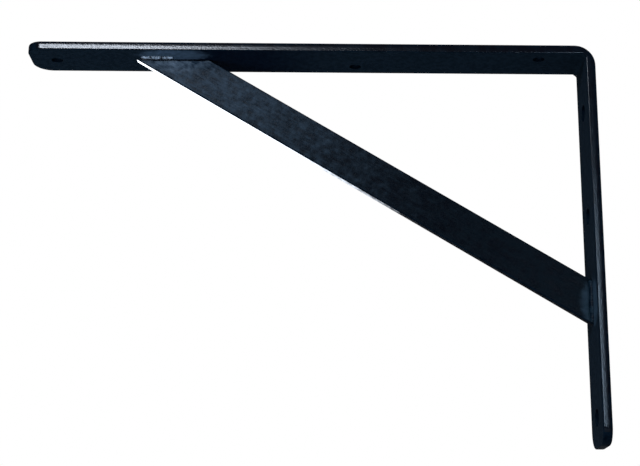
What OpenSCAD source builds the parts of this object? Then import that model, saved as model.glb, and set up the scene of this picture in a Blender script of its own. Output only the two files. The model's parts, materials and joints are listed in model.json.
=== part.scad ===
// Braced shelf bracket: a flat bar bent to a right angle, with a diagonal brace welded between its arms.
// The face that bears on the wall lies on X = 0 and faces +X. The face under the shelf faces +Z.
// The origin is the middle of the top wall hole, on the face that bears on the wall.

/* [Bent bar] */
// Length of the shelf arm, from the wall face to its tip
shelf_arm = 300; // [280:5:400]
// Length of the wall arm, from the shelf face to its tip
wall_arm = 210; // [190:5:300]
// Width of the flat bar
bar_w = 30; // [26:1:50]
// Thickness of the flat bar
bar_t = 5; // [4:0.5:8]
// Radius on the inside of the bend
bend_r = 3.5; // [2:0.5:6]
// Share of the thickness that the bar loses in the middle of the bend, as its outside stretches
bend_thinning = 0.2; // [0.05:0.05:0.2]
// Radius of the two corners of each tip
tip_r = 9; // [3:0.5:12]
// Radius of the flat bar's rolled edges
bar_edge_r = 1; // [0.4:0.1:1]

/* [Wall holes] */
// Diameter of the wall holes
wall_hole_d = 9; // [5:0.5:12]
// Distance of the top wall hole below the shelf face
wall_hole_top = 33; // [28:1:45]
// Distance of the middle wall hole below the shelf face
wall_hole_mid = 90; // [65:1:96]
// Distance of the bottom wall hole from the tip of the wall arm
wall_hole_end = 15; // [10:0.5:18]

/* [Shelf holes] */
// Diameter of the shelf holes
shelf_hole_d = 6; // [3:0.5:8]
// Distance of the first shelf hole from the wall face
shelf_hole_near = 28.5; // [24:0.5:45]
// Distance of the middle shelf hole from the wall face
shelf_hole_mid = 126; // [80:1:130]
// Distance of the last shelf hole from the tip of the shelf arm
shelf_hole_end = 14; // [8:0.5:20]
// Offset of the first two shelf holes from the middle line, one to each side, past the brace below them
shelf_hole_side = 6; // [4:0.5:7]

/* [Brace] */
// Width of the brace, across its upper and lower edges
brace_w = 20; // [15:1:22]
// Thickness of the brace
brace_t = 5; // [4:0.5:8]
// Radius of the brace's rolled edges
brace_edge_r = 0.8; // [0.4:0.1:1.4]
// Distance from the wall face to where the brace's lower edge meets the shelf arm
brace_reach = 243; // [200:1:250]
// Distance from the shelf face down to where the brace's lower edge meets the wall arm
brace_drop = 148; // [130:1:160]

/* [Weld beads] */
// Width of a bead on each of the two faces that it joins
weld_leg = 3; // [2:0.5:3.5]
// Height of a bead's crown over a straight line between its two edges, as a share of its width
weld_crown = 0.17; // [0.12:0.01:0.25]
// Length of the beads under the shelf arm
upper_weld = 16; // [12:0.5:16]
// Distance from the brace's outer corner to the start of the beads under the shelf arm
upper_weld_start = 4; // [3:0.5:5]
// Distance of the beads on the wall arm from the corners of the brace above and below them
lower_weld_margin = 1.5; // [1:0.1:1.5]

/* [Hidden] */
$fn = 64;

coat = "#0d1a23";
bead_coat = "#14212b";

// The inside of the bend starts this far from the outer faces, and the outside, which is thinned, further on
bend_in = bar_t + bend_r;
bend_out = bend_in + bar_t * bend_thinning / (sqrt(2) - 1);
// The bend is drawn as an outer and an inner layer of this depth, a little more than half the thickness
layer = bar_t / 2 + 0.1;
// Over-long cutters run this far past what they cut
cut = 1;

// Slope of the brace below the shelf arm
brace_slope = atan2(brace_drop - bar_t, brace_reach - bar_t);
brace_run = norm([brace_reach - bar_t, brace_drop - bar_t]);
// Past its lower edge's corners, the square-ended blank has to reach the far corners of the mitres
brace_spare = brace_w / tan(min(brace_slope, 90 - brace_slope));
// The brace's joint with the wall arm, measured along the arm
lower_joint = brace_w / cos(brace_slope);

// The crown of a bead is part of a circle through the bead's two edges, centred behind the corner it fills
crown_h = weld_leg * sqrt(0.5) + weld_leg * weld_crown;
crown_back = (weld_leg * weld_leg - crown_h * crown_h) / (2 * (weld_leg - sqrt(2) * crown_h));
crown_r = norm([weld_leg - crown_back, crown_back]);
// How far the round end of a bead runs past its straight part, in the corner
crown_end = sqrt(crown_r * crown_r - 2 * crown_back * crown_back);

// Puts the corner where the wall face meets the shelf face at its height over the origin
module at_corner() {
    translate([0, 0, wall_hole_top]) children();
}

// Cross-section of a rolled flat bar: w wide along X, from -t to 0 along Y, with edges of radius r
module flat_section(w, t, r) {
    translate([-w / 2, r - t]) square([w, t - 2 * r]);
    translate([r - w / 2, -t]) square([w - 2 * r, t]);
    for (x = [r - w / 2, w / 2 - r], y = [r - t, -r])
        translate([x, y]) circle(r);
}

// The bent bar's section from its middle out to one rolled edge, depth wide
module half_section(depth) {
    intersection() {
        flat_section(2 * depth, bar_t, bar_edge_r);
        translate([0, -bar_t]) square([depth, bar_t]);
    }
}

// The end of an arm, along +X from X = 0, with its outer face at Z = 0
module arm_tip() {
    rotate([90, 0, 0])
        linear_extrude(bar_w - 2 * tip_r, center = true) half_section(tip_r);
    for (side = [0, 1])
        mirror([0, side, 0])
            translate([0, bar_w / 2 - tip_r, 0])
                rotate_extrude(angle = 90) half_section(tip_r);
}

// A straight arm along +X, from the end of the bend to its tip, with its outer face at Z = 0
module arm(length) {
    translate([bend_out, 0, 0]) rotate([90, 0, 90])
        linear_extrude(length - tip_r - bend_out) flat_section(bar_w, bar_t, bar_edge_r);
    translate([length - tip_r, 0, 0]) arm_tip();
}

// A hole through an arm, along Z, at a distance along +X and an offset along Y
module arm_hole(d, along, side = 0) {
    translate([along, side, -bar_t - cut]) cylinder(d = d, h = bar_t + 2 * cut);
}

// Turn an arm that runs along +X into the shelf arm, or into the wall arm
module as_shelf_arm() {
    mirror([1, 0, 0]) children();
}

module as_wall_arm() {
    rotate([0, 90, 0]) children();
}

// One layer of the bar's section: its outer side, or its inner side
module layer_section(top) {
    intersection() {
        flat_section(bar_w, bar_t, bar_edge_r);
        translate([-bar_w / 2, top ? -layer : -bar_t]) square([bar_w, layer]);
    }
}

// One layer of the bend: a quarter turn whose sides meet the arms at a distance from the outer faces
module bend_layer(from, top) {
    translate([-from, 0, -from]) rotate([90, 0, 0])
        rotate_extrude(angle = 90)
            translate([from, 0]) rotate(-90) layer_section(top);
}

// From where the inside of the bend ends to where the outside does, an arm has its inner layer only
module bend_run() {
    translate([bend_in, 0, 0]) rotate([90, 0, 90])
        linear_extrude(bend_out - bend_in) layer_section(false);
}

module bend() {
    bend_layer(bend_out, true);
    bend_layer(bend_in, false);
    as_shelf_arm() bend_run();
    as_wall_arm() bend_run();
}

module angle_bar() {
    color(coat) at_corner() difference() {
        union() {
            as_shelf_arm() arm(shelf_arm);
            as_wall_arm() arm(wall_arm);
            bend();
        }
        as_shelf_arm() {
            arm_hole(shelf_hole_d, shelf_hole_near, -shelf_hole_side);
            arm_hole(shelf_hole_d, shelf_hole_mid, shelf_hole_side);
            arm_hole(shelf_hole_d, shelf_arm - shelf_hole_end);
        }
        as_wall_arm() {
            arm_hole(wall_hole_d, wall_hole_top);
            arm_hole(wall_hole_d, wall_hole_mid);
            arm_hole(wall_hole_d, wall_arm - wall_hole_end);
        }
    }
}

// Lays what is drawn along +X, with the brace's lower edge at Z = 0, along the slope of the brace
module along_brace() {
    translate([-brace_reach, 0, -bar_t]) rotate([0, brace_slope, 0])
        translate([-brace_spare, 0, 0]) children();
}

// The mitres are the inner faces of the two arms
module brace() {
    color(coat) at_corner() intersection() {
        along_brace()
            translate([0, 0, brace_w / 2]) rotate([0, 90, 0])
                linear_extrude(brace_run + 2 * brace_spare)
                    translate([0, brace_t / 2]) flat_section(brace_w, brace_t, brace_edge_r);
        translate([-brace_reach, -brace_t, -brace_drop])
            cube([brace_reach - bar_t, 2 * brace_t, brace_drop - bar_t]);
    }
}

// A capsule along Z, with round ends centred at Z = low and Z = high
module capsule(r, low, high) {
    rotate_extrude() intersection() {
        union() {
            for (end = [low, high]) translate([0, end]) circle(r);
            translate([-r, low]) square([2 * r, high - low]);
        }
        translate([0, low - r]) square([r, high - low + 2 * r]);
    }
}

// A bead along +X from X = 0, in the corner between the planes Y = 0 and Z = 0, where both are below zero
module bead(length) {
    intersection() {
        translate([0, -crown_back, -crown_back]) rotate([0, 90, 0])
            capsule(crown_r, crown_end, length - crown_end);
        translate([0, -weld_leg - cut, -weld_leg - cut]) cube([length, weld_leg + cut, weld_leg + cut]);
    }
}

// The beads keep to the flat of the brace's side, between its rolled edges
module on_brace_flat() {
    half = brace_t / 2 + weld_leg + cut;
    intersection() {
        children();
        along_brace()
            translate([0, -half, brace_edge_r])
                cube([brace_run + 2 * brace_spare, 2 * half, brace_w - 2 * brace_edge_r]);
    }
}

// The bead under the shelf arm, and the one on the wall arm, on the right as one faces the wall
module upper_bead() {
    color(bead_coat) at_corner() on_brace_flat()
        translate([upper_weld_start - brace_reach, -brace_t / 2, -bar_t])
            bead(upper_weld);
}

module lower_bead() {
    color(bead_coat) at_corner() on_brace_flat()
        translate([-bar_t, -brace_t / 2, lower_weld_margin - brace_drop])
            mirror([1, 0, -1]) bead(lower_joint - 2 * lower_weld_margin);
}

module upper_weld_right() {
    upper_bead();
}

module upper_weld_left() {
    mirror([0, 1, 0]) upper_bead();
}

module lower_weld_right() {
    lower_bead();
}

module lower_weld_left() {
    mirror([0, 1, 0]) lower_bead();
}

angle_bar();
brace();
upper_weld_left();
upper_weld_right();
lower_weld_left();
lower_weld_right();
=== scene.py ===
# %% [markdown]
# # A braced shelf bracket
#
# The real object is a flat steel bar bent to a right angle, with a second, shorter bar welded between its two
# arms and a black powder coat over everything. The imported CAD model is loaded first: it fixes every size and
# place. The pieces that show are then modelled around it, so that they can have softer rims, lumpy welds and a
# proper coat.

import json
import math

import bmesh
import bpy
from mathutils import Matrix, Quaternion, Vector, noise


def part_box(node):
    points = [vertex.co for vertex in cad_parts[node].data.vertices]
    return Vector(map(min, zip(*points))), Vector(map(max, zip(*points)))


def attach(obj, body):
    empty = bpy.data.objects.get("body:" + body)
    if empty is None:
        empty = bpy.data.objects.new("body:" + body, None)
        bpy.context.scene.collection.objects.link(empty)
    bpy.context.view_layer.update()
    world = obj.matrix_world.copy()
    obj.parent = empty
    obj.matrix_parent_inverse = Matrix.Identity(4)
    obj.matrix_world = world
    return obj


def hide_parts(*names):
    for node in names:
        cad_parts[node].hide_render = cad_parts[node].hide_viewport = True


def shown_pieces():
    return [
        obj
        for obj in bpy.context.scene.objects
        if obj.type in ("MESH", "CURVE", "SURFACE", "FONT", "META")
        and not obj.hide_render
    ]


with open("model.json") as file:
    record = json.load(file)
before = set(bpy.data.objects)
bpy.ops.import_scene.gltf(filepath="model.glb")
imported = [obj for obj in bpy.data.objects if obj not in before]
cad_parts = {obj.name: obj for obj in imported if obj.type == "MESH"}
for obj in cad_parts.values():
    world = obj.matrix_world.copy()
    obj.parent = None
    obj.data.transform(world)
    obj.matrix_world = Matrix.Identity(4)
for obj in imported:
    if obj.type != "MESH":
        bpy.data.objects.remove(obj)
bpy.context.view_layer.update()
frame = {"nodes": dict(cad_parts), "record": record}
MM = 0.001
print("nodes:", sorted(frame["nodes"]))

# %% [markdown]
# ## Where the camera stands
#
# The bracket is seen from a little below, so that the underside of the shelf arm and the inside of the wall arm
# both show. A long lens keeps the perspective gentle. The camera is made first: shapes and lamps are then judged
# through it.

# %% Camera
SENSOR_MM, LENS_MM = 36.0, 79.3
CAMERA_AT = (-0.14359, -0.70353, -0.26499)
CAMERA_TURNED = (105.708, -0.452, -0.073)

camera_data = bpy.data.cameras.new("camera")
camera_data.sensor_width = SENSOR_MM
camera_data.lens = LENS_MM
camera = bpy.data.objects.new("camera", camera_data)
camera.location = CAMERA_AT
camera.rotation_euler = [math.radians(degrees) for degrees in CAMERA_TURNED]
bpy.context.scene.collection.objects.link(camera)
bpy.context.scene.camera = camera

# %% [markdown]
# ## Small helpers for modelling
#
# An operator in Blender works on whatever is selected, as by hand. So each step first clears the selection and
# then picks what it needs by place or direction: `only` picks one object, `pick` picks parts of the mesh that is
# being edited.

# %% Helpers for selecting
def only(piece):
    """Selects one object and nothing else."""
    bpy.ops.object.select_all(action="DESELECT")
    piece.select_set(True)
    bpy.context.view_layer.objects.active = piece


def edit(piece):
    """Opens one object in edit mode, with nothing of it selected."""
    only(piece)
    bpy.ops.object.mode_set(mode="EDIT")
    bpy.ops.mesh.select_all(action="DESELECT")


def done():
    bpy.ops.object.mode_set(mode="OBJECT")


def pick(kind, rule):
    """In edit mode, selects the VERT, EDGE or FACE parts that a rule says yes to."""
    bpy.ops.mesh.select_mode(type=kind)
    bpy.ops.mesh.select_all(action="DESELECT")
    mesh = bmesh.from_edit_mesh(bpy.context.object.data)
    mesh.normal_update()
    parts = {"VERT": mesh.verts, "EDGE": mesh.edges, "FACE": mesh.faces}[kind]
    found = [part for part in parts if rule(part)]
    for part in found:
        part.select_set(True)
    bmesh.update_edit_mesh(bpy.context.object.data)
    return len(found)


def middle(edge):
    return (edge.verts[0].co + edge.verts[1].co) / 2


def sharp(edge):
    """Says whether the two faces at an edge turn by more than a radian."""
    return edge.is_manifold and edge.calc_face_angle() > 1


def near(a, b, gap=1e-5):
    return abs(a - b) < gap


def block(name, low, high):
    """A block between two corners, with its place in its mesh."""
    bpy.ops.object.select_all(action="DESELECT")
    bpy.ops.mesh.primitive_cube_add(size=1)
    piece = bpy.context.object
    piece.name = piece.data.name = name
    piece.scale = [h - l for l, h in zip(low, high)]
    piece.location = [(h + l) / 2 for l, h in zip(low, high)]
    bpy.ops.object.transform_apply(location=True, rotation=True, scale=True)
    return piece


def apply_modifier(piece, kind, **settings):
    """Adds a modifier with these settings and applies it."""
    modifier = piece.modifiers.new(kind.lower(), kind)
    for key, value in settings.items():
        setattr(modifier, key, value)
    only(piece)
    bpy.ops.object.modifier_apply(modifier=modifier.name)


def smooth(piece, angle=40):
    """Shades curved faces smoothly and leaves true edges sharp."""
    only(piece)
    bpy.ops.object.shade_smooth_by_angle(angle=math.radians(angle))
    apply_modifier(piece, "WEIGHTED_NORMAL", keep_sharp=True)
    print(piece.name, "has", sum(len(f.vertices) - 2 for f in piece.data.polygons), "triangles")


def finish(piece, slot, *nodes):
    """Hangs a piece under the root and hides the CAD nodes that it stands for. The slot is not used."""
    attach(piece, "root")
    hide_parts(*nodes)

# %% [markdown]
# ## The bent bar
#
# The real one is a length of rolled flat bar, 30 by 5 mm, pressed to a right angle. It could be swept along a
# path, but an L cut from one block is quicker: the shelf arm is a block, the wall arm is extruded from its end,
# and bevels then round the bend, the tips and the rolled edges, in that order, from the largest to the smallest.

# %% The L of the bar
bar_low, bar_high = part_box("angle_bar")
BAR_T = 5 * MM
FLAT_ANGLE = 0.01
BEND_IN, BEND_OUT = 2.2 * MM, 10.9 * MM
ON_THE_BEND = 0.1 * MM
SHELF_TIP, WALL_TIP = 0, 2
TIP_CORNERS = ((SHELF_TIP, -1, 7.5 * MM), (SHELF_TIP, 1, 10 * MM), (WALL_TIP, -1, 9 * MM), (WALL_TIP, 1, 9 * MM))
OUTER_ROLLED_R = 2.0 * MM
INNER_ROLLED_R = 0.7 * MM
ROLLED_SHAPE = 0.65
under = bar_high.z - BAR_T
inside = bar_high.x - BAR_T

bent_bar = block("bent_bar", (bar_low.x, bar_low.y, under), bar_high)
edit(bent_bar)
bpy.ops.mesh.select_all(action="SELECT")
bpy.ops.mesh.bisect(plane_co=(inside, 0, 0), plane_no=(1, 0, 0))
pick("FACE", lambda f: f.normal.z < -0.9 and f.calc_center_median().x > inside)
bpy.ops.mesh.extrude_region_move(TRANSFORM_OT_translate={"value": (0, 0, bar_low.z - under)})
pick("EDGE", lambda e: e.calc_face_angle() < FLAT_ANGLE)
bpy.ops.mesh.dissolve_edges(use_verts=True)
done()
print("the L has", len(bent_bar.data.polygons), "faces")

# %% [markdown]
# ### Rounding it
#
# A bend stretches the outside of the bar, so the outer corner is rounder than the thickness alone would give.
# The tips are cut to a soft shape so that they can't catch a sleeve, and the two corners of the shelf arm's tip
# aren't quite alike. The bar was cropped from the outer side, so its outer edges are drawn down to a larger round
# than the inner ones.

# %% Bend, tips and rolled edges
def corner(x, z):
    """A rule for the edge that runs across the bar at x and z."""
    return lambda e: all(near(v.co.x, x) and near(v.co.z, z) for v in e.verts)


def tip_corner(tip, side):
    """A rule for the short edge at one corner of a tip; side is -1 for -Y and +1 for +Y."""
    return lambda e: near(middle(e)[tip], bar_low[tip]) and near(side * middle(e).y, bar_high.y)


def outer(co):
    """Says whether a point lies on the faces that meet the wall and the shelf."""
    right, up = co.x - (bar_high.x - BEND_OUT), co.z - (bar_high.z - BEND_OUT)
    if right > 0 and up > 0:
        return near(math.hypot(right, up), BEND_OUT, ON_THE_BEND)
    return near(co.z, bar_high.z) or near(co.x, bar_high.x)


edit(bent_bar)
pick("EDGE", corner(bar_high.x, bar_high.z))
bpy.ops.mesh.bevel(offset=BEND_OUT, segments=16, affect="EDGES")
pick("EDGE", corner(inside, under))
bpy.ops.mesh.bevel(offset=BEND_IN, segments=10, affect="EDGES")
for tip, side, radius in TIP_CORNERS:
    pick("EDGE", tip_corner(tip, side))
    bpy.ops.mesh.bevel(offset=radius, segments=14, affect="EDGES")
print("outer edges:", pick("EDGE", lambda e: sharp(e) and all(outer(v.co) for v in e.verts)))
bpy.ops.mesh.bevel(offset=OUTER_ROLLED_R, segments=8, profile=ROLLED_SHAPE, affect="EDGES")
print("inner edges:", pick("EDGE", sharp))
bpy.ops.mesh.bevel(offset=INNER_ROLLED_R, segments=6, profile=ROLLED_SHAPE, affect="EDGES")
done()

# %% [markdown]
# ### The crown of the sides
#
# The rolls leave the narrow sides of a flat bar a little barrel-shaped. They fall by only a tenth of a millimetre
# before the rolled edge starts, but a highlight shows it: it lies along the inner half of the side and dies away
# towards the outer edge. The sides are split into strips along the bar, and a Displace modifier then pushes every
# point inwards by its weight. The weight grows with the square of the distance from the crest, like the rim of a
# very large wheel.

# %% Crown the two sides
CREST = 4.3 * MM  # how far the crest lies below the outer face
CROWN_R = 30 * MM
STRIPS, STRIP = 3, 0.33 * MM
SIDE_AREA = 300 * MM * MM  # only the two sides are flat across the bar and larger than this
CROWN_FADE = (10 * MM, 13 * MM)  # nothing moves nearer to the middle line than the first, all of it past the second
deepest = CREST ** 2 / (2 * CROWN_R)


def depth_under_outside(co):
    """How far a point lies below the faces that meet the wall and the shelf."""
    right, up = co.x - (bar_high.x - BEND_OUT), co.z - (bar_high.z - BEND_OUT)
    if right > 0 and up > 0:
        return BEND_OUT - math.hypot(right, up)
    return min(bar_high.z - co.z, bar_high.x - co.x)


edit(bent_bar)
print("sides:", pick("FACE", lambda f: abs(f.normal.y) > 0.999 and f.calc_area() > SIDE_AREA))
for _ in range(STRIPS):
    bpy.ops.mesh.inset(thickness=STRIP, use_even_offset=True, use_individual=True)
done()
for side in (-1, 1):
    weights = bent_bar.vertex_groups.new(name="crown")
    for point in bent_bar.data.vertices:
        past = max(CREST - depth_under_outside(point.co), 0)
        out = (side * point.co.y - CROWN_FADE[0]) / (CROWN_FADE[1] - CROWN_FADE[0])
        share = past ** 2 / (2 * CROWN_R) / deepest * min(max(out, 0), 1)
        if share > 0:
            weights.add([point.index], share, "REPLACE")
    apply_modifier(bent_bar, "DISPLACE", direction="Y", mid_level=0, strength=-side * deepest,
                   vertex_group=weights.name)
    bent_bar.vertex_groups.remove(bent_bar.vertex_groups[0])
print("the sides fall by", round(deepest / MM, 2), "mm at the outer face")

# %% [markdown]
# ### The screw holes
#
# The holes are punched, so they are cut with cylinders here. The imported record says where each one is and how
# wide. A coat builds up and rounds over at a rim, which a small bevel gives.

# %% Punch the holes
HOLE_SIDES = 48
RIM_R = 0.2 * MM
ON_THE_RIM = 0.02 * MM
holes = [m for m in frame["record"]["mounts"] if m["kind"] == "bore"]


def off_axis(point, hole):
    """Distance of a point from a hole's axis."""
    away = point - Vector(hole["pos_m"])
    along = Vector(hole["axis"])
    return (away - along * away.dot(along)).length


def on_rim(e):
    """A rule for the sharp edges round the holes."""
    reach = [(off_axis(v.co, h), h["dims"]["r_mm"] * MM) for v in e.verts for h in holes]
    return sum(near(r, want, ON_THE_RIM) for r, want in reach) >= 2 and sharp(e)


for hole in holes:
    bpy.ops.object.select_all(action="DESELECT")
    bpy.ops.mesh.primitive_cylinder_add(
        vertices=HOLE_SIDES, radius=hole["dims"]["r_mm"] * MM, depth=4 * BAR_T, location=hole["pos_m"],
        rotation=Vector(hole["axis"]).to_track_quat("Z", "Y").to_euler())
    punch = bpy.context.object
    apply_modifier(bent_bar, "BOOLEAN", object=punch, operation="DIFFERENCE", solver="EXACT")
    bpy.data.objects.remove(punch)

edit(bent_bar)
print("edges on the rims:", pick("EDGE", on_rim), "of", 2 * HOLE_SIDES * len(holes))
bpy.ops.mesh.bevel(offset=RIM_R, segments=3, affect="EDGES")
done()
smooth(bent_bar)
finish(bent_bar, "powder_coat", "angle_bar")

# %% [markdown]
# ## The brace
#
# The brace is a narrower bar set on edge, with both ends sawn so that they lie flat on the arms. It is laid out
# along X at its full size, its long edges are rolled, and then it is turned to its slope and sawn with two cuts,
# as in a workshop.

# %% The brace
brace_low, brace_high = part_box("brace")
BRACE_W = 20 * MM
BRACE_ROLLED = 0.8 * MM
drop, reach = brace_high.z - brace_low.z, brace_high.x - brace_low.x
slope = math.atan2(drop, reach)
spare = 40 * MM

brace = block("diagonal_brace", (-spare, brace_low.y, 0), (math.hypot(drop, reach) + spare, brace_high.y, BRACE_W))
edit(brace)
pick("EDGE", lambda e: abs(e.verts[0].co.x - e.verts[1].co.x) > spare)
bpy.ops.mesh.bevel(offset=BRACE_ROLLED, segments=5, affect="EDGES")
done()
only(brace)
brace.rotation_euler.y = slope
brace.location = (brace_low.x, 0, brace_high.z)
bpy.ops.object.transform_apply(location=True, rotation=True, scale=True)
edit(brace)
for saw_at, saw_towards in (((0, 0, brace_high.z), (0, 0, 1)), ((brace_high.x, 0, 0), (1, 0, 0))):
    bpy.ops.mesh.select_all(action="SELECT")
    bpy.ops.mesh.bisect(plane_co=saw_at, plane_no=saw_towards, clear_outer=True, use_fill=True)
done()
smooth(brace)
finish(brace, "powder_coat", "brace")
print("brace slopes", round(math.degrees(slope), 1), "degrees")

# %% [markdown]
# ## The weld beads
#
# Four beads hold the brace: one in the corner on each side of it, at both ends. A bead is a row of puddles of
# steel that froze one over the other, so it isn't swept like a pipe: each puddle is a flattened ball that leans
# over the one before it. The row is fused into one skin with a voxel remesh, roughened a little, and planed off
# where it has melted into the bar and the brace.

# %% One bead from a row of puddles
PUDDLE_STEP = 1.3 * MM
PUDDLE_SHORT = 0.72  # a puddle's length along the bead, as a share of its width
SKIN = 0.28 * MM
LUMP_SIZE, LUMP_HEIGHT = 1.6 * MM, 0.35 * MM
SUNK = 0.35 * MM
CLEAR = 20 * MM
side_y = (brace_high.y - brace_low.y) / 2


def puddle(centre, size, lean, flat=1):
    """One frozen puddle: a ball that is shorter along the bead than across it, leaning back."""
    bpy.ops.mesh.primitive_uv_sphere_add(segments=24, ring_count=14, radius=size, location=centre, rotation=lean)
    ball = bpy.context.object
    ball.scale = (PUDDLE_SHORT, 1, flat)
    return ball


def fuse(name, puddles):
    """Joins the puddles and gives them one skin."""
    bpy.ops.object.select_all(action="DESELECT")
    for ball in puddles:
        ball.select_set(True)
    bpy.context.view_layer.objects.active = puddles[0]
    bpy.ops.object.join()
    bead = bpy.context.object
    bead.name = bead.data.name = name
    bpy.ops.object.transform_apply(location=True, rotation=True, scale=True)
    lumps = bpy.data.textures.new(name + " lumps", "CLOUDS")
    lumps.noise_scale = LUMP_SIZE
    apply_modifier(bead, "REMESH", mode="VOXEL", voxel_size=SKIN)
    apply_modifier(bead, "SMOOTH", factor=0.5, iterations=2)
    apply_modifier(bead, "DISPLACE", texture=lumps, texture_coords="LOCAL", strength=LUMP_HEIGHT)
    return bead


def plane_off(bead, low, high):
    """Cuts away what lies inside a box, and closes the cut."""
    waste = block("waste", low, high)
    apply_modifier(bead, "BOOLEAN", object=waste, operation="DIFFERENCE", solver="EXACT")
    bpy.data.objects.remove(waste)


def part_from_brace(bead, side):
    """Planes a bead off where it has melted into the brace. What is left sinks a little into it."""
    face = side * (side_y - SUNK)
    near_y, far_y = sorted((face, face - side * CLEAR))
    plane_off(bead, (bar_low.x - CLEAR, near_y, bar_low.z - CLEAR), (bar_high.x + CLEAR, far_y, bar_high.z + CLEAR))


# %% [markdown]
# ### Where the beads lie
#
# The corner under the shelf arm runs along X, and the corner on the wall arm runs along Z. Sizes wander a little
# from puddle to puddle, by a fixed rule and not by chance, so that every run gives the same beads. The cuts leave a
# few slivers, which are dissolved.

# %% Make the four beads
UPPER_START = 4 * MM
UPPER_BEAD = 16 * MM
UPPER_SIZE, UPPER_FLAT, UPPER_LEAN = 2.4 * MM, 0.45, 0.2
UPPER_OUT, UPPER_DOWN = 1.9 * MM, 0.1 * MM
LOWER_INSET = 1.5 * MM
LOWER_SIZE, LOWER_LEAN = 1.7 * MM, math.pi / 2 + 0.4
LOWER_OUT = 0.3 * MM
WANDER, WANDER_PACE = 0.16, 0.83
BEAD_ANGLE = 60
SLIVER = 0.005 * MM


def wander(name, step):
    """A size factor round 1 that changes from puddle to puddle."""
    return 1 + WANDER * noise.noise(Vector((WANDER_PACE * step, len(name), 0.5)))


def upper_bead(name, side):
    """A bead under the shelf arm; side is -1 for -Y and +1 for +Y."""
    row = []
    for step in range(round(UPPER_BEAD / PUDDLE_STEP)):
        centre = (brace_low.x + UPPER_START + step * PUDDLE_STEP, side * (side_y + UPPER_OUT), under - UPPER_DOWN)
        row.append(puddle(centre, UPPER_SIZE * wander(name, step), (0, UPPER_LEAN, 0), flat=UPPER_FLAT))
    bead = fuse(name, row)
    plane_off(bead, (bar_low.x, bar_low.y - CLEAR, under + SUNK), (bar_high.x, bar_high.y + CLEAR, under + CLEAR))
    part_from_brace(bead, side)
    return bead


def lower_bead(name, side):
    """A bead on the wall arm, as tall as the joint."""
    length = BRACE_W / math.cos(slope) - 2 * LOWER_INSET
    row = []
    for step in range(round(length / PUDDLE_STEP)):
        centre = (inside - LOWER_OUT, side * (side_y + LOWER_OUT),
                  brace_low.z + LOWER_INSET + (step + 0.5) * PUDDLE_STEP)
        row.append(puddle(centre, LOWER_SIZE * wander(name, step), (0, LOWER_LEAN, 0)))
    bead = fuse(name, row)
    plane_off(bead, (inside + SUNK, bar_low.y - CLEAR, bar_low.z), (inside + CLEAR, bar_high.y + CLEAR, bar_high.z))
    part_from_brace(bead, side)
    return bead


for end, make in (("upper", upper_bead), ("lower", lower_bead)):
    for hand, side in (("right", -1), ("left", 1)):
        bead = make(f"{end}_bead_{hand}", side)
        edit(bead)
        bpy.ops.mesh.select_all(action="SELECT")
        bpy.ops.mesh.dissolve_degenerate(threshold=SLIVER)
        done()
        smooth(bead, BEAD_ANGLE)
        finish(bead, "coated_weld", f"{end}_weld_{hand}")

# %% [markdown]
# ## The coat
#
# All the steel has the same black powder coat with a blue cast, but it doesn't look the same everywhere. On the
# wide faces it is matt and slightly rough, on the sides of the bar it has flowed smoother and shines, and on the
# brace the drawn surface of the steel shows through as streaks. The base colours differ as well, and that part is
# painted light and shade: the wide faces are several times lighter than the sides and the brace. Light and shade are
# also painted in patches round the joints and along the brace, and as glint specks on the upper beads. So there are
# several materials, built from three shared effects. Each effect is a node group: it is drawn once and placed in
# every material with that material's own values.

# %% Helpers for nodes
def node(tree, kind, plugs=(), **settings):
    """Adds a shader node. Each plug is an input, with a value or with the output that feeds it."""
    made = tree.nodes.new("ShaderNode" + kind)
    for key, value in settings.items():
        setattr(made, key, value)
    for socket, source in dict(plugs).items():
        if isinstance(source, bpy.types.NodeSocket):
            tree.links.new(source, made.inputs[socket])
        else:
            made.inputs[socket].default_value = source
    return made


def effect(name, inputs, outputs):
    """A new node group: its tree, its inputs as outputs of the entry node, and its exit node."""
    tree = bpy.data.node_groups.new(name, "ShaderNodeTree")
    for label, kind in inputs:
        tree.interface.new_socket(name=label, in_out="INPUT", socket_type="NodeSocket" + kind)
    for label in outputs:
        tree.interface.new_socket(name=label, in_out="OUTPUT", socket_type="NodeSocketFloat")
    return tree, tree.nodes.new("NodeGroupInput").outputs, tree.nodes.new("NodeGroupOutput")


def stretch(tree, value, low, high):
    """Spreads the values from low to high over 0 to 1, with soft ends."""
    return node(tree, "MapRange", {0: value, 1: low, 2: high}, interpolation_type="SMOOTHSTEP").outputs[0]

# %% [markdown]
# ### Grain
#
# Powder melts into a skin like fine leather. One noise makes that grain, and a second one, about five times
# coarser, makes places where the coat is a little thicker and darker.

# %% The grain effect
COARSE_SCALE = 0.21

grain_tree, entry, leave = effect("coat grain", [("Place", "Vector"), ("Size", "Float")], ["Height", "Mottle"])
per_metre = node(grain_tree, "Math", {0: 1.0, 1: entry["Size"]}, operation="DIVIDE").outputs[0]
place = node(grain_tree, "VectorMath", {0: entry["Place"], "Scale": per_metre}, operation="SCALE").outputs[0]
fine = node(grain_tree, "TexNoise", {"Vector": place, "Scale": 1.0, "Detail": 2.0, "Roughness": 0.55})
coarse = node(grain_tree, "TexNoise", {"Vector": place, "Scale": COARSE_SCALE, "Detail": 3.0, "Roughness": 0.6})
grain_tree.links.new(fine.outputs[0], leave.inputs["Height"])
grain_tree.links.new(stretch(grain_tree, coarse.outputs[0], 0.36, 0.64), leave.inputs["Mottle"])
print("effect:", grain_tree.name)

# %% [markdown]
# ### Streaks
#
# Flat bar is rolled or drawn, which leaves streaks along it. They are noise that is stretched along the bar's
# length.

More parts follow.
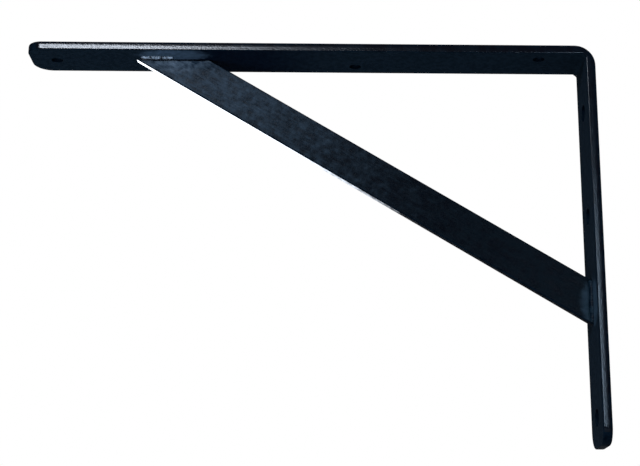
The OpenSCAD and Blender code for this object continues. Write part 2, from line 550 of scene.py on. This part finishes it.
# %% The streak effect
streak_tree, entry, leave = effect(
    "drawn streaks", [("Place", "Vector"), ("Length", "Float"), ("Width", "Float")], ["Streak"])
cell = node(streak_tree, "CombineXYZ", {0: entry["Length"], 1: entry["Width"], 2: entry["Width"]}).outputs[0]
place = node(streak_tree, "VectorMath", {0: entry["Place"], 1: cell}, operation="DIVIDE").outputs[0]
lines = node(streak_tree, "TexNoise", {"Vector": place, "Scale": 1.0, "Detail": 4.0, "Roughness": 0.62})
streak_tree.links.new(stretch(streak_tree, lines.outputs[0], 0.3, 0.7), leave.inputs["Streak"])
print("effect:", streak_tree.name)

# %% [markdown]
# ### Patches of painted light and shade
#
# This effect paints light and shade into a coat. Lighter patches stand where light falls or is reflected round the
# joints and along the brace, and darker ones stand for the brace's shadow and the creases. It is a soft patch round
# a middle, with a reach along each axis and a ragged rim.

# %% The patch effect, for painted light and shade
RAG_SCALE, RAG_DEPTH = 320.0, 0.7

soft_patch_tree, entry, leave = effect(
    "soft patch of painted light, shade or gloss", [("Place", "Vector"), ("Middle", "Vector"), ("Reach", "Vector"), ("Inner", "Float"),
                   ("Outer", "Float")], ["Mask"])
away = node(soft_patch_tree, "VectorMath", {0: entry["Place"], 1: entry["Middle"]}, operation="SUBTRACT").outputs[0]
share = node(soft_patch_tree, "VectorMath", {0: away, 1: entry["Reach"]}, operation="DIVIDE").outputs[0]
far = node(soft_patch_tree, "VectorMath", {0: share}, operation="LENGTH").outputs["Value"]
ragged = node(soft_patch_tree, "TexNoise", {"Vector": entry["Place"], "Scale": RAG_SCALE, "Detail": 3.0}).outputs[0]
rim = node(soft_patch_tree, "Math", {0: ragged, 1: RAG_DEPTH, 2: far}, operation="MULTIPLY_ADD").outputs[0]
soft_patch_tree.links.new(stretch(soft_patch_tree, rim, entry["Outer"], entry["Inner"]), leave.inputs["Mask"])
print("effect:", soft_patch_tree.name)

# %% [markdown]
# ### From effects to coats
#
# A coat mixes two near-blacks by the mottle and the streaks, lays its patches of painted light and shade over
# them, and gives the same patterns to the roughness and the bump. A patch has a middle, a reach along X, Y and Z,
# a fade (where it starts and where it has gone, counted in reaches) and two colours, which the same mottle mixes.
# A patch can also say where a clear gloss lies. What is the same all over, such as the specular level, is set on
# the shader.

# %% Build a coat
GLOSS_ROUGHNESS = 0.12


def shade(tree, mask, dark, light):
    """Mixes two colours by a mask."""
    mix = node(tree, "Mix", {0: mask}, data_type="RGBA")
    for socket, colour in ((mix.inputs[6], dark), (mix.inputs[7], light)):
        if isinstance(colour, bpy.types.NodeSocket):
            tree.links.new(colour, socket)
        else:
            socket.default_value = (*colour, 1)
    return mix.outputs[2]


def patch(tree, place, patch_spec):
    """The mask of one soft patch: painted light or shade, or where a clear gloss lies."""
    made = node(tree, "Group", node_tree=soft_patch_tree)
    tree.links.new(place, made.inputs["Place"])
    made.inputs["Middle"].default_value = patch_spec["middle"]
    made.inputs["Reach"].default_value = patch_spec["reach"]
    made.inputs["Inner"].default_value, made.inputs["Outer"].default_value = patch_spec["fade"]
    return made.outputs["Mask"]


def coat(name, dark, light, rough, specular, grain, bump, streaks=None, light_and_shade_patches=(), gloss=None):
    """A powder coat. rough is (in the dark places, in the light places); grain is its size in metres."""
    material = bpy.data.materials.new(name)
    material.use_nodes = True
    tree = material.node_tree
    shader = tree.nodes["Principled BSDF"]
    shader.inputs["Specular IOR Level"].default_value = specular
    shader.inputs["Coat Roughness"].default_value = GLOSS_ROUGHNESS
    place = node(tree, "TexCoord").outputs["Object"]
    skin = node(tree, "Group", node_tree=grain_tree)
    tree.links.new(place, skin.inputs["Place"])
    skin.inputs["Size"].default_value = grain
    mask, height = skin.outputs["Mottle"], skin.outputs["Height"]
    if streaks:
        turned = node(tree, "Mapping", {"Vector": place, "Rotation": (0, -streaks["turn"], 0)}).outputs[0]
        drawn = node(tree, "Group", node_tree=streak_tree)
        tree.links.new(turned, drawn.inputs["Place"])
        drawn.inputs["Length"].default_value = streaks["length"]
        drawn.inputs["Width"].default_value = streaks["width"]
        mask = node(tree, "Mix", {0: streaks["share"], 2: mask, 3: drawn.outputs["Streak"]}).outputs[0]
        height = node(tree, "Mix", {0: streaks["share"], 2: height, 3: drawn.outputs["Streak"]}).outputs[0]
    colour = shade(tree, mask, dark, light)
    for patch_spec in light_and_shade_patches:
        colour = shade(tree, patch(tree, place, patch_spec), colour, shade(tree, mask, *patch_spec["colours"]))
    if gloss:
        tree.links.new(patch(tree, place, gloss), shader.inputs["Coat Weight"])
    tree.links.new(colour, shader.inputs["Base Color"])
    roughness = node(tree, "MapRange", {0: mask, 3: rough[0], 4: rough[1]})
    tree.links.new(roughness.outputs[0], shader.inputs["Roughness"])
    relief = node(tree, "Bump", {"Height": height, "Strength": 1.0, "Distance": bump})
    tree.links.new(relief.outputs[0], shader.inputs["Normal"])
    return material

# %% [markdown]
# ### The coats of this bracket
#
# The colours are near-blacks: a few thousandths of the light, most of it blue. Only the specks on the upper beads,
# which are painted glints, and the patches of painted light round the joints and along the brace are lighter; the
# other patches are painted shade. The specular levels are very low too, because the room is white and would turn
# a shinier black to grey.

# %% The coats
joint_top = Vector((brace_low.x + 0.020, -side_y - 6 * MM, under))
joint_low = Vector((inside, -side_y - 4 * MM, brace_low.z + 0.0115))
# The wide faces' base is several times lighter than the sides' and the brace's below. It is the same coat: the
# difference is painted light under the arm and painted shade on the faces that the lamps light.
wide_coat = coat(
    "coat on the wide faces, with painted light and shade", (0.0008, 0.0019, 0.0032), (0.0014, 0.0030, 0.0049), (0.95, 0.9), 0.0027,
    0.5 * MM, 0.02 * MM, light_and_shade_patches=[
        # painted shadow: the underside is darker to the right of the brace's upper end, where the brace shades it
        {"middle": (brace_low.x + 0.055, 0, under), "reach": (0.03, 0.05, 0.0022), "fade": (0.7, 2.0),
         "colours": ((0.0001, 0.0006, 0.0018), (0.0003, 0.0011, 0.0027))},
        # painted reflected light: the underside in front of the brace's upper end is lighter, lit from the brace
        {"middle": joint_top, "reach": (0.019, 0.008, 0.003), "fade": (0.95, 1.5),
         "colours": ((0.0065, 0.0115, 0.0175), (0.0095, 0.0160, 0.0250))},
        # painted reflection: the wall arm's inner face is lighter beside the brace's lower end, where it mirrors the
        # brace
        {"middle": joint_low, "reach": (0.003, 0.009, 0.0125), "fade": (0.95, 1.5),
         "colours": ((0.004, 0.008, 0.012), (0.006, 0.011, 0.017))}])
side_coat = coat(
    "smooth coat on the sides of the bar", (0.0, 0.0001, 0.0005), (0.0, 0.0004, 0.0010), (0.15, 0.17), 0.027,
    0.9 * MM, 0.045 * MM)
rolled_coat = coat(
    "coat drawn thin over the rolled edges", (0.0, 0.0004, 0.0010), (0.0003, 0.0012, 0.0024), (0.65, 0.55), 0.004,
    0.9 * MM, 0.05 * MM)
brace_coat = coat(
    "streaked coat on the brace, with painted light and shade", (0.0, 0.0001, 0.0004), (0.0001, 0.0006, 0.0011), (0.25, 0.36), 0.0052,
    0.8 * MM, 0.12 * MM, streaks={"turn": slope, "length": 7 * MM, "width": 1.0 * MM, "share": 0.5},
    light_and_shade_patches=[
        # painted light: the brace grows lighter towards its upper end, where the lamps fall on it most
        {"middle": (brace_low.x, 0, brace_high.z), "reach": (0.2, 0.2, 0.2), "fade": (0.3, 1.3),
         "colours": ((0.0003, 0.0010, 0.0018), (0.0050, 0.0082, 0.0118))},
        # painted light on the brace's near face just under the shelf arm, where the arm would shade it
        {"middle": (brace_low.x + 0.022, -side_y, under), "reach": (0.026, 0.01, 0.006), "fade": (0.6, 1.7),
         "colours": ((0.003, 0.006, 0.010), (0.034, 0.044, 0.056))},
        # painted reflection: the brace is lighter beside the wall arm at its lower end, where it mirrors the arm
        {"middle": joint_low, "reach": (0.007, 0.012, 0.013), "fade": (0.95, 1.5),
         "colours": ((0.0010, 0.0026, 0.0038), (0.0027, 0.0050, 0.0074))},
        # painted shade: a thin dark line along the brace's top, in the crease under the shelf arm
        {"middle": (brace_low.x + 0.030, -side_y, under), "reach": (0.045, 0.01, 0.0014), "fade": (0.75, 1.25),
         "colours": ((0.0, 0.0, 0.0003), (0.0, 0.0003, 0.0008))}])
glossy_coat = coat(
    "glossy coat under the brace", (0.0, 0.0003, 0.0009), (0.0002, 0.0008, 0.0018), (0.65, 0.55), 0.004,
    0.9 * MM, 0.01 * MM,
    gloss={"middle": (brace_low.x, 0, brace_high.z), "reach": (0.12, 0.12, 0.12), "fade": (0.85, 1.9)})
# The light specks that the mottle mixes in are painted glints on the weld lumps.
glint_speck_coat = coat(
    "coat over the upper beads with painted glint specks", (0.0, 0.0003, 0.0010), (0.070, 0.088, 0.108), (0.32, 0.42), 0.028,
    0.3 * MM, 0.05 * MM, light_and_shade_patches=[
        # painted shade: the bead is darker where it meets the brace, in the crease
        {"middle": (brace_low.x + 0.012, -side_y, under), "reach": (0.03, 0.0044, 0.01), "fade": (0.85, 1.2),
         "colours": ((0.0, 0.0, 0.0003), (0.0, 0.0005, 0.0012))}])
bead_coat = coat(
    "coat over the lower beads", (0.0, 0.0006, 0.0016), (0.0010, 0.0030, 0.0050), (0.40, 0.50), 0.015,
    0.8 * MM, 0.05 * MM)

# %% [markdown]
# ### Which face has which coat
#
# A material belongs to faces. On the bar, a face is wide if it looks along the bar's thickness, a side if it
# looks across it, and otherwise it is on a rolled edge or in a hole. On the brace, the narrow face that looks down
# has the gloss, which fades from its upper end.

# %% Give every face its coat
def dress(piece, rule, *coats):
    """Gives a piece its coats, and each face the one whose number the rule says."""
    piece.data.materials.clear()
    for one in coats:
        piece.data.materials.append(one)
    used = [0] * len(coats)
    for face in piece.data.polygons:
        face.material_index = rule(face.center, face.normal)
        used[face.material_index] += 1
    print(piece.name, dict(zip([one.name for one in coats], used)))


def bar_face(centre, normal):
    if centre.x < bar_high.x - BEND_OUT:
        through = abs(normal.z)
    elif centre.z < bar_high.z - BEND_OUT:
        through = abs(normal.x)
    else:
        through = math.hypot(normal.x, normal.z)
    if through > 0.97:
        return 0
    return 1 if abs(normal.y) > 0.95 and abs(centre.y) > bar_high.y - BAR_T / 2 else 2


def brace_face(centre, normal):
    if abs(normal.y) > 0.9:
        return 0
    down = -normal.x * math.sin(slope) - normal.z * math.cos(slope)
    return 2 if down > 0.9 else 1


dress(bent_bar, bar_face, wide_coat, side_coat, rolled_coat)
dress(brace, brace_face, brace_coat, rolled_coat, glossy_coat)
for bead in [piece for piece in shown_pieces() if "_bead_" in piece.name]:
    dress(bead, lambda centre, normal: 0, glint_speck_coat if "upper" in bead.name else bead_coat)

# %% [markdown]
# ## The studio
#
# There is a pale floor and five lamps. The left strip box and the faint one beside it are mirrored in the side of
# the shelf arm, the right one in the side of the wall arm, and the one behind in the underside of the brace. A low
# soft box reaches under the shelf arm. The white surroundings are seen by the camera and in reflections, and light
# the bracket only weakly.

# %% Floor
FLOOR_SIZE, FLOOR_Z = 6, -0.42
PAPER = (0.8, 0.8, 0.8, 1)

bpy.ops.object.select_all(action="DESELECT")
bpy.ops.mesh.primitive_plane_add(size=FLOOR_SIZE, location=(0, 0, FLOOR_Z))
floor = bpy.context.object
floor.name = "floor"
paper = bpy.data.materials.new("pale floor paper")
paper.use_nodes = True
paper_shader = paper.node_tree.nodes["Principled BSDF"]
paper_shader.inputs["Base Color"].default_value = PAPER
paper_shader.inputs["Roughness"].default_value = 0.8
floor.data.materials.append(paper)

# %% Lamps
COOL_WHITE = (0.80, 0.88, 1.0)
SKY_WHITE = (0.56, 0.76, 1.0)


def lamp(name, place, aim, size, power, turn=0, tint=COOL_WHITE):
    """A soft box: a glowing rectangle that the camera doesn't see. It can be turned about the line to its aim."""
    data = bpy.data.lights.new(name, "AREA")
    data.shape = "RECTANGLE"
    data.size, data.size_y = size
    data.energy = power
    data.color = tint
    thing = bpy.data.objects.new(name, data)
    thing.location = place
    facing = (Vector(place) - Vector(aim)).to_track_quat("Z", "Y")
    thing.rotation_euler = (facing @ Quaternion((0, 0, 1), math.radians(turn))).to_euler()
    thing.visible_camera = False
    bpy.context.scene.collection.objects.link(thing)
    print(name, "gives", round(power / math.pi / (Vector(place) - Vector(aim)).length_squared, 2), "W/m2")


lamp("left strip box", (-0.62, -1.6, 0.86), (-0.15, 0, 0), (0.46, 0.18), 128, turn=-28)
lamp("faint strip box on the left", (-0.345, -1.6, 0.69), (-0.12, 0, 0), (0.26, 0.13), 24, turn=-20)
lamp("right strip box", (0.325, -1.6, 0.15), (0, 0, -0.1), (0.05, 0.52), 35, tint=SKY_WHITE)
lamp("strip box behind", (-0.717, 1.5, -0.184), (-0.1865, 0, -0.006), (0.60, 0.26), 4, turn=31)
lamp("low softbox", (-0.32, -0.25, -0.30), (-0.29, -0.05, 0.03), (0.2, 0.15), 2.4)

# %% World
ROOM_LIGHT, ROOM_SEEN = 0.35, 1.0

world = bpy.data.worlds.new("studio")
bpy.context.scene.world = world
world.use_nodes = True
sky = world.node_tree
sky.nodes.clear()
room = node(sky, "Background", {"Color": (1, 1, 1, 1), "Strength": ROOM_LIGHT})
white = node(sky, "Background", {"Color": (1, 1, 1, 1), "Strength": ROOM_SEEN})
ray = node(sky, "LightPath").outputs
seen = node(sky, "Math", {0: ray["Is Camera Ray"], 1: ray["Is Glossy Ray"]}, operation="MAXIMUM")
seen = node(sky, "Math", {0: seen.outputs[0], 1: ray["Is Transmission Ray"]}, operation="MAXIMUM")
both = node(sky, "MixShader", {0: seen.outputs[0], 1: room.outputs[0], 2: white.outputs[0]})
node(sky, "OutputWorld", {"Surface": both.outputs[0]})
bpy.context.scene.view_settings.view_transform = "Standard"
